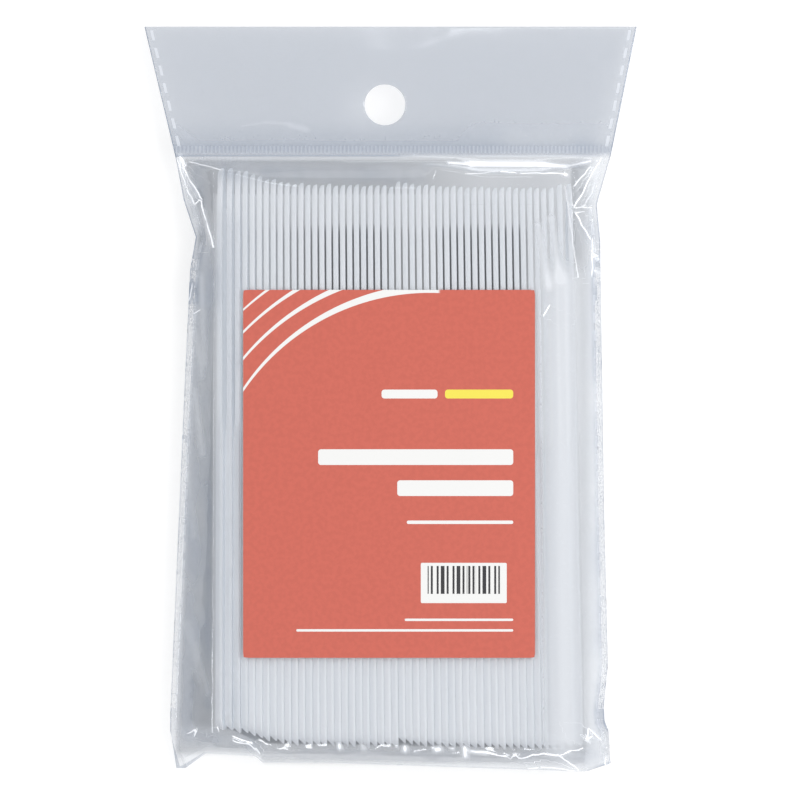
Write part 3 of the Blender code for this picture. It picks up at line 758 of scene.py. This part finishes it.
def openHole(x, y, rowAt, columnAt, cells):
    # spreads the grid round a square of cells until that square's border is a circle; the spread fades
    # away further out
    centreX, centreY = x[rowAt, columnAt], y[rowAt, columnAt]
    i = np.abs(np.arange(x.shape[0]) - rowAt)[:, None]
    j = np.abs(np.arange(x.shape[1]) - columnAt)[None, :]
    steps = np.maximum(i, j).astype(float)
    reach = cells * 2.6
    fade = np.clip((steps - cells) / (reach - cells), 0, 1)
    dx, dy = x - centreX, y - centreY
    length = np.maximum(np.hypot(dx, dy), 1e-6)
    circle = film["holeRadius"] * np.maximum(steps, cells) / cells
    scale = (1 - fade) * circle / length + fade
    scale = np.where((steps >= cells) & (steps < reach), scale, 1.0)
    return centreX + dx * scale, centreY + dy * scale


def filmPoints():
    # the front's rows: down the header, down the pouch, and round the foot to the fold
    headerY = np.linspace(topY, sealY, film["headerRows"])
    headerX = columnsAt(headerY)
    headerRow = int(np.argmin(np.abs(headerY - (topY - film["holeDrop"]))))
    headerColumn = int(np.argmin(np.abs(headerX[headerRow] - film["holeShift"])))
    hole = (headerRow, headerColumn, film["holeCells"])
    headerYs = np.repeat(headerY[:, None], headerX.shape[1], axis=1)
    hx, hy = openHole(headerX, headerYs, *hole)
    shoulderEnd = sealY - film["shoulderLength"]
    shoulderY = np.linspace(sealY, shoulderEnd, film["shoulderRows"] + 1)[1:]
    panelY = np.linspace(shoulderEnd, buttY + 4, film["panelRows"] + 1)[1:]
    levels = np.concatenate([shoulderY, panelY])
    fx = columnsAt(levels)
    fy = np.repeat(levels[:, None], fx.shape[1], axis=1)
    # the foot: a quarter turn from the panel's end down to the fold
    angle = np.linspace(0, math.pi / 2, film["footRows"] + 1)[1:, None]
    lastX, lastY = fx[-1][None], fy[-1][None]
    footY = lastY + (bottomEdge(lastX) - lastY) * np.sin(angle) ** 1.15
    footX = lastX + (columnsAt(np.full(1, buttY - 4)) - lastX) * np.sin(angle)
    share = sideShare(footX, footY)
    top = pack["frontHeight"] + wrinkles(footX, footY, share) + creaseField(footX, footY)[0]
    nose = 1 - film["noseFall"] * (1 - np.cos(angle)) ** 1.3
    base = weldZ(footY)
    footZ = base + (top * nose - base) * sideClimb(share)
    return (hx, hy, headerZ(hx, hy)), (fx, fy, frontZ(fx, fy)), (footX, footY, footZ), hole


def lipPoints(fold):
    # round under the fold, out along the back to the lip's free edge, and back on its inner side
    under = np.linspace(0, math.pi / 2, 9)[1:, None]
    wrapY = fold[:, 1] + film["lipWrap"] * (1 - np.cos(under))
    wrapZ = fold[:, 2] * (1 - np.sin(under))
    lipEnd = bottomY + pack["lipLength"] + 0.6 * softNoise(fold[:, 0], fold[:, 0] * 0, 30.0, 41)
    flatY = wrapY[-1] + (lipEnd - wrapY[-1]) * np.linspace(0, 1, 15)[1:, None]
    innerY = flatY[::-2]
    lipY = np.concatenate([wrapY, flatY, innerY])
    lipZ = np.concatenate([wrapZ, flatY * 0, innerY * 0 + film["lipSkin"]])
    lipX = np.repeat(fold[None, :, 0], len(lipY), axis=0)
    return np.stack([lipX, lipY, lipZ], axis=-1)


def openCells(numbers, faces, rowAt, columnAt, cells):
    # takes the hang hole's cells out of both sheets, and joins the two borders by a wall
    rows, columns = numbers.shape
    backRow = rows - 1 - rowAt
    cellRow, cellColumn = np.mgrid[:rows, : columns - 1]

    def near(number, middle):
        return (number >= middle - cells) & (number < middle + cells)

    opened = (near(cellRow, rowAt) | near(cellRow, backRow)) & near(cellColumn, columnAt)
    span = np.arange(-cells, cells)
    edge = np.full(2 * cells, cells)
    down, across = np.concatenate([(-edge, span), (span, edge), (edge, -span), (-span, -edge)], axis=1)
    rim = numbers[rowAt + down, columnAt + across]
    rimBack = numbers[backRow - down, columnAt + across]
    wall = np.stack([rim, rimBack, np.roll(rimBack, -1), np.roll(rim, -1)], axis=1)
    return np.concatenate([faces[~opened.ravel()], wall])


def sideSeams(numbers, picks, backStart):
    # header rows meet one to one, and each back row below the seal meets several front rows
    headerRows = film["headerRows"]
    starts = np.concatenate([[headerRows - 1], picks[::-1]])
    seams, wedges = [], []
    for column in (0, numbers.shape[1] - 1):
        front = numbers[:, column]
        back = front[::-1][:headerRows]
        chain = np.concatenate([back[-1:], front[backStart : backStart + len(picks)][::-1]])
        fans = []
        for step in range(len(picks)):
            ahead = np.arange(starts[step], starts[step + 1])
            fans.append(np.stack([front[ahead], front[ahead + 1], ahead * 0 + chain[step]], axis=1))
            fans.append(np.array([[front[starts[step + 1]], chain[step + 1], chain[step]]]))
        rest = np.arange(starts[-1], backStart)
        fans.append(np.stack([front[rest[:-1]], front[rest[1:]], rest[1:] * 0 + chain[-1]], axis=1))
        outwards = slice(None, None, 1 if column else -1)
        ahead = front[:headerRows]
        seams.append(np.stack([ahead[:-1], ahead[1:], back[1:], back[:-1]], axis=1)[:, outwards])
        wedges.append(np.concatenate(fans)[:, outwards])
    return np.concatenate(seams), np.concatenate(wedges)


# lighter and darker lines and dots along the seal: drop from the film's top edge, x, and how far both fade
# at their ends
sealMarks = {
    "dark line": (37.8, 38.5, 0.15, -99.0, 4.0, 4.0),
    "white line": (38.05, 38.4, 0.08, 25.0, 61.0, 1.5),
    "dots": (38.05, 38.35, 0.1, 2.8, 25.0, 1.5),
    "lower dots": (39.75, 40.1, 0.12, -14.0, 26.0, 4.0),
    "strip": (38.8, 39.6, 0.15, -99.0, 12.5, 7.5),
}


def filmFinish():
    shade = Shade(bpy.data.materials.new("Clear film"))
    x, y, _ = shade.place()
    inset, fold, gap, crestGlintShare, paintedGlare, hazeAndShade, glint, front = [
        shade.node("Attribute", {"attribute_name": name}, output="Fac")
        for name in ("inset", "fold", "gap", "crestGlintShare", "paintedGlare", "hazeAndShade", "glint", "front")
    ]
    facing = shade.node("LayerWeight", None, {"Blend": 0.5}, output="Facing")
    mirror = (film["mirror"] + (1 - film["mirror"]) * facing ** 5) * (0.2 + 0.8 * front)
    haze = shade.noise(34, 4.0)
    dust = shade.noise(900, 2.0)
    drop = topY - y
    # the ribbed seal, and the lighter and darker lines and dots below it
    ribs = ((x * (turn / film["ribPitch"])).sine() * 0.5 + 0.5) * drop.within(*film["ribs"])
    dark, line, dots, lowDots, strip = [
        drop.within(*mark[:3]) * x.within(*mark[3:]) for mark in sealMarks.values()
    ]
    dots = (dots + lowDots) * (x / film["dotPitch"]).fraction().rise(0.35, 0.6)
    # the dashed side welds and the cut edge
    between = 1 - abs((drop / film["dashPitch"]).fraction() - 0.5).rise(0.27, 0.33)
    dash = (1 - abs(inset - pack["weldWidth"]).rise(0.35, 0.6)) * between
    fainter = drop.rise(*film["dashFainter"])
    edge = 1 - inset.below(fold * 0.6).rise(0.15, 0.5)
    # painted glint along the nearest crest
    crestGlint = (1 - abs(gap).rise(0.08, 0.30)) * crestGlintShare
    # white: painted glare and glints with the seal's ribs, white line, dots and strip and the weld dashes;
    # grey: haze and painted shade with the seal's dark line and the cut edge
    white = paintedGlare + crestGlint + ribs * 0.55 + line * 0.9 + dots * 0.7 + strip * 0.2
    white = white + dash * (0.45 - 0.2 * fainter)
    white = (white + 0.03 * haze + 0.02 * dust.rise(0.55, 0.75)) * front
    grey = (hazeAndShade + dark * 0.3 + edge * 0.4) * front + 0.01
    height = ribs + dash * 0.6 + 0.25 * haze
    bump = shade.node("Bump", None, {"Strength": 0.2, "Distance": 0.0002, "Height": height})
    # painted glints as glow: on the creases' crests, the glint veils and the weld dashes
    spark = (crestGlint + glint.rise(0.5, 0.9) + dash * (0.3 - 0.25 * fainter)).below(1.0)
    milk = shade.node("BsdfPrincipled", None, {
        "Base Color": shade.mix(white / (white + grey), film["hazeAndShade"], film["paintedGlare"]),
        "Roughness": 0.3 + 0.1 * haze,
        "Emission Color": shade.mix(spark, (0, 0, 0, 1), (1, 1, 1, 1)),
        "Emission Strength": film["spark"],
        "Normal": bump,
    })
    untinted = shade.node("BsdfTransparent", None, {"Color": film["backTint"]})
    tinted = shade.node("BsdfTransparent", None, {"Color": film["tint"]})
    clear = shade.node("MixShader", None, {0: front, 1: untinted, 2: tinted})
    gloss = shade.node("BsdfPrincipled", None, {
        "Base Color": (0.95, 0.97, 1.0, 1),
        "Metallic": 1.0,
        "Roughness": film["gloss"] + 0.05 * haze,
        "Normal": bump,
    })
    hazy = shade.node("MixShader", None, {0: (white + grey).below(0.97), 1: clear, 2: milk})
    surface = shade.node("MixShader", None, {0: mirror, 1: hazy, 2: gloss})
    return shade.finish(surface)


def addFilm():
    # one loop of rows: down the front, round the foot, along the lip and back, and up the back
    header, panel, foot, hole = filmPoints()
    front = [np.concatenate(parts) for parts in zip(header, panel, foot)]
    front[2][: film["headerRows"]] += film["skin"]
    frontGrid = np.stack(front, axis=-1)
    lipGrid = lipPoints(frontGrid[-1])
    # the back's rows, from the mouth up to the header's top edge
    belowSeal = len(frontGrid) - film["headerRows"]
    picks = film["headerRows"] - 1 + np.arange(belowSeal - film["mouthRows"], 0, -film["backEvery"])
    backX, backY = front[0][picks], front[1][picks]
    backGrid = np.stack([backX, backY, backZ(backX, backY)], axis=-1)
    headerBack = np.stack(header, axis=-1)[::-1] - (0, 0, film["skin"])
    grid = np.concatenate([frontGrid, lipGrid, backGrid, headerBack])
    points = grid.reshape(-1, 3)
    numbers = np.arange(len(points)).reshape(grid.shape[:2])
    faces = openCells(numbers, gridFaces(np.concatenate([numbers, numbers[:1]])), *hole)
    seams, wedges = sideSeams(numbers, picks, len(frontGrid) + len(lipGrid))
    faceSets = [np.concatenate([faces, seams]), wedges]
    piece = makePiece("FilmBag", points, faceSets, filmFinish(), "film_bag")
    # what the material reads: distances from the side edges and the fold, the creases' crests and their
    # painted glints, and the painted veils of glare and shade with the film's haze
    x, y = grid[..., 0], grid[..., 1]
    inset = np.minimum(x - sideEdge(-1, y), sideEdge(1, y) - x).clip(0, 60)
    _, gap, crestGlintShare = creaseField(x, y)
    paintedGlare, hazeAndShade, glint = paintedVeilShares(x, y)
    inFrontSheet = np.zeros_like(x)
    inFrontSheet[: len(frontGrid)] = 1
    fields = {"inset": inset, "fold": (y - bottomEdge(x)).clip(0, 60), "gap": gap, "crestGlintShare": crestGlintShare}
    fields.update({"paintedGlare": paintedGlare, "hazeAndShade": hazeAndShade, "glint": glint, "front": inFrontSheet})
    for name, values in fields.items():
        attribute = piece.data.attributes.new(name, "FLOAT", "POINT")
        attribute.data.foreach_set("value", values.astype(np.float32).ravel())
    print("film:", len(faceSets[0]) * 2 + len(wedges), "triangles")


# Label

label = {
    "width": 85.6,
    "length": 107.9,
    "drop": 77.7,
    "shift": -0.4,
    "corner": 0.6,
    "thickness": 0.14,
    "lift": 0.12,
    "coral": (0.69, 0.152, 0.108, 1),
    "deepCoral": (0.6486, 0.14288, 0.10152, 1),
    "yellow": (0.96, 0.83, 0.1, 1),
    "white": (0.93, 0.93, 0.92, 1),
    "stripeCentre": (56.0, -67.0),  # right of and below the label's top left corner
    "stripes": ((67.5, 0.32, 0.019), (73.0, 0.32, 0.017), (78.2, 0.3, 0.015), (82.9, 0.25, 0.014)),
    "bars": (  # middle, half size and colour of each plain bar that stands where print was
        (6.0, 23.4, 8.2, 1.3, "white"),
        (26.4, 23.4, 10.0, 1.3, "yellow"),
        (7.8, 4.9, 28.6, 2.3, "white"),
        (19.4, -4.2, 17.0, 2.3, "white"),
        (20.8, -14.2, 15.6, 0.5, "white"),
        (20.5, -42.8, 15.9, 0.35, "white"),
        (4.6, -45.9, 31.8, 0.35, "white"),
    ),
    "panel": (21.9, -32.0, 12.6, 5.9),
    "codeRise": 0.9,
    "codeHalf": (10.6, 4.1),
    "codeWaves": (4.1, 6.7),  # two sine waves across the code, whose sum makes its lines uneven
    "ink": (0.05, 0.05, 0.055, 1),
}


def labelGrid(z, columns=58, rows=72):
    # an even grid over the rectangle; points past a corner's centre are drawn in to its arc
    halfX, halfY, corner = label["width"] / 2, label["length"] / 2, label["corner"]
    x, y = np.meshgrid(np.linspace(-halfX, halfX, columns), np.linspace(halfY, -halfY, rows))
    overX = np.clip(np.abs(x) - halfX + corner, 0, None)
    overY = np.clip(np.abs(y) - halfY + corner, 0, None)
    length = np.maximum(np.hypot(overX, overY), 1e-9)
    pull = np.minimum(1, corner / length)
    x = np.sign(x) * (np.abs(x) - overX * (1 - pull))
    y = np.sign(y) * (np.abs(y) - overY * (1 - pull))
    x, y = x + label["shift"], y + topY - label["drop"] - halfY
    return np.stack([x, y, frontZ(x, y) + z], axis=-1)


def barMask(x, y, centreX, centreY, halfX, halfY, rounding):
    # inside of a bar with round ends: the distance to its core line, less the rounding
    overX = (abs(x - centreX) - (halfX - rounding)).above(0.0)
    overY = (abs(y - centreY) - (halfY - rounding)).above(0.0)
    distance = (overX * overX + overY * overY).root()
    return 1 - distance.rise(rounding - 0.05, rounding + 0.05)


def labelFinish():
    shade = Shade(bpy.data.materials.new("Printed paper"))
    x, y, _ = shade.place()
    x = x - label["shift"]
    y = y - (topY - label["drop"] - label["length"] / 2)
    fibre = shade.noise(700, 5.0)
    mottle = shade.noise(60, 3.0)
    colour = shade.mix(fibre.rise(0.35, 0.65), label["deepCoral"], label["coral"])
    # curved stripes across the corner, each with a radius, a half width at the left edge and its growth
    # to the right
    cornerX, cornerY = x + label["width"] / 2, y - label["length"] / 2
    acrossX, acrossY = cornerX - label["stripeCentre"][0], cornerY - label["stripeCentre"][1]
    radius = (acrossX * acrossX + acrossY * acrossY).root()
    upperLeft = acrossX.rise(2.0, 1.0) * acrossY.rise(0.0, 1.0)
    for middle, half, growth in label["stripes"]:
        stripe = (half + growth * cornerX - abs(radius - middle)).rise(-0.06, 0.06)
        colour = shade.mix(stripe * upperLeft, colour, label["white"])
    for centreX, centreY, halfX, halfY, ink in label["bars"]:
        bar = barMask(x, y, centreX, centreY, halfX, halfY, min(halfY, 0.9) * 0.95)
        colour = shade.mix(bar, colour, label[ink])
    panelX, panelY, panelHalfX, panelHalfY = label["panel"]
    panel = barMask(x, y, panelX, panelY, panelHalfX, panelHalfY, 0.4)
    colour = shade.mix(panel, colour, label["white"])
    code = barMask(x, y, panelX, panelY + label["codeRise"], *label["codeHalf"], 0.05)
    slow, quick = label["codeWaves"]
    lines = ((x * slow).sine() + (x * quick).sine() * 0.8).rise(-0.12, 0.12)
    colour = shade.mix(code * lines, colour, label["ink"])
    height = fibre * 0.6 + mottle * 0.4
    bump = shade.node("Bump", None, {"Strength": 0.18, "Distance": 0.0002, "Height": height})
    surface = shade.node("BsdfPrincipled", None, {
        "Base Color": colour,
        "Roughness": 0.42 + 0.14 * fibre,
        "Normal": bump,
    })
    return shade.finish(surface)


def addLabel():
    lower = labelGrid(label["lift"])
    upper = labelGrid(label["lift"] + label["thickness"])
    rows, columns = upper.shape[:2]
    points = np.concatenate([upper.reshape(-1, 3), lower.reshape(-1, 3)])
    top = np.arange(rows * columns).reshape(rows, columns)
    bottom = top + rows * columns
    border = np.concatenate([top[0, :-1], top[:-1, -1], top[-1, :0:-1], top[:0:-1, 0]])
    after = np.roll(border, -1)
    rim = np.stack([border, after, after + rows * columns, border + rows * columns], axis=1)
    faces = np.concatenate([gridFaces(top), gridFaces(bottom)[:, ::-1], rim[:, ::-1]])
    makePiece("Label", points, [faces], labelFinish(), "label", 50)
    print("label:", len(faces), "faces")


# Studio

studio = {
    "view": 234.6,  # width of the picture at the height of the knives' spines
    "aim": (2.8, -0.35),
    "distance": 3000.0,
    "sky": 0.74,
    "mirroredSky": 0.35,
    "floor": (0.60, 0.60, 0.60, 1),
    "floorGlow": 0.52,
    "floorReach": 4000.0,
    "floorDrop": 0.3,
    # place, width, height and glow of each lamp's face; a card is seen in mirrors alone
    "lamps": {
        "key": ((700, 120, 1150), 1000, 760, 2.9),
        "back card": ((135, 1060, 1000), 230, 340, 2.2),
        "side card": ((1050, 330, 700), 640, 160, 7.0),
        "left card": ((-1000, 150, 850), 700, 200, 6.0),
        "foot card": ((330, -1000, 950), 640, 220, 8.0),
    },
}


def addLamp(name, place, width, height, glow):
    # a flat lamp that faces the pack; its power gives its face the stated brightness
    lamp = bpy.data.lights.new(name, "AREA")
    lamp.shape = "RECTANGLE"
    lamp.size = width * metre
    lamp.size_y = height * metre
    lamp.energy = glow * math.pi * lamp.size * lamp.size_y
    holder = addObject(name, lamp)
    holder.location = Vector(place) * metre
    holder.rotation_euler = (-Vector(place)).to_track_quat("-Z", "Y").to_euler()
    holder.visible_diffuse = "card" not in name
    holder.visible_glossy = "card" in name


def seenDirectly(shade):
    # 1 for rays from the camera, also through the film, and from mirrors
    path = shade.node("LightPath", output="Is Camera Ray")
    return (path + path.other("Is Glossy Ray") + path.other("Is Transmission Ray")).below(1.0)


# painted shadow on the floor under the pack, where its glow is held back: share, then x and y where it
# starts, is full, fades and ends
paintedFloorShadow = {
    "blades": (1.0, (-52, -50, 53, 55), (17, 23, 48.5, 54.5)),
    "fingers": (0.4, (-52, -50, 53, 55), (46, 50, 62, 66)),
    "handles": (1.0, (-52, -50, 53, 55), (-199, -198, 20, 34)),
    "above tips": (0.74, (-199, -198, 56, 59.5), (59, 61, 69.8, 71.8)),
    "left": (0.85, (-199, -198, -53, -50), (-100, -96, 68, 72)),
    "right": (0.85, (52, 54, 56.5, 61), (-108, -104, 68, 72)),
    "foot": (0.5, (-199, -198, 57, 59), (-199, -198, 198, 199)),
}


def paintedShadowShare(x, y):
    # painted shadow: most of the glow held back under the blades' middle and at the butts, some beside the
    # row and above the tips
    blades, fingers, handles, aboveTips, left, right, foot = [
        x.between(*across) * y.between(*along) * share for share, across, along in paintedFloorShadow.values()
    ]
    onRight = x.rise(37, 43)
    blades = blades * (0.62 + 0.38 * x.rise(-34, -14)) * (1 - x.within(-1, 14, 3) * 0.35 - onRight * 0.75)
    # the butts' line rises at the left; the film's left edge is one line above the waist and another below
    butts = y - buttY - 4.4 * (1 - x.rise(-50, -36)) + 0.0154 * (x + 52)
    handles = handles * butts.rise(-0.2, 0.4) * (1 - onRight * y.rise(-25, -12) * 0.8)
    foot = foot * (1 - butts.rise(0, 2)) * (y - 2.8 * (1 - x.rise(-39, -37))).rise(-108.5, -106.5)
    aboveTips = aboveTips * (1 - 0.46 * x.rise(0, 30))
    inLeft = (x - (-45.5 - 0.25 * y).below(y * 0.044 - 60.8)).rise(1.2, 3.2)
    most = blades.above(fingers).above(handles).above(right)
    return most.above(aboveTips.above(left).above(foot) * inLeft)


def addFloor():
    shade = Shade(bpy.data.materials.new("Studio floor"))
    base = shade.node("BsdfDiffuse", None, {"Color": studio["floor"]})
    x, y, _ = shade.place()
    # the floor's glow where it is seen directly, less where the painted shadow holds it back
    share = (1 - paintedShadowShare(x, y)) * seenDirectly(shade)
    glow = shade.node("Emission", None, {"Color": (1, 1, 1, 1), "Strength": studio["floorGlow"]})
    shown = shade.node("MixShader", None, {0: share, 2: glow})
    material = shade.finish(shade.node("AddShader", None, {0: base, 1: shown}))
    mesh = bpy.data.meshes.new("Floor")
    reach, level = studio["floorReach"] * metre, -studio["floorDrop"] * metre
    corners = [(-reach, -reach), (reach, -reach), (reach, reach), (-reach, reach)]
    mesh.from_pydata([(*corner, level) for corner in corners], [], [(0, 1, 2, 3)])
    mesh.materials.append(material)
    floor = addObject("Floor", mesh)


def addWorld():
    world = bpy.data.worlds.new("Studio")
    bpy.context.scene.world = world
    shade = Shade(world)
    glossy = shade.node("LightPath", output="Is Glossy Ray")
    sky, mirrored = [
        shade.node("Background", None, {"Color": (1, 1, 1, 1), "Strength": studio[name]})
        for name in ("sky", "mirroredSky")
    ]
    shade.finish(shade.node("MixShader", None, {0: glossy, 1: sky, 2: mirrored}), "OutputWorld")


def addCamera():
    data = bpy.data.cameras.new("Camera")
    camera = addObject("Camera", data)
    height = studio["distance"] + pack["frontHeight"]
    camera.location = Vector((studio["aim"][0], studio["aim"][1], height)) * metre
    data.sensor_width = 36.0
    data.lens = data.sensor_width * studio["distance"] / studio["view"]
    data.clip_end = 20.0
    bpy.context.scene.camera = camera


addKnives()
addFilm()
addLabel()
addFloor()
addWorld()
addCamera()
for lampName, settings in studio["lamps"].items():
    addLamp(lampName, *settings)
bpy.context.scene.view_settings.view_transform = "Standard"
print("studio: floor, sky, lamps and camera are set")
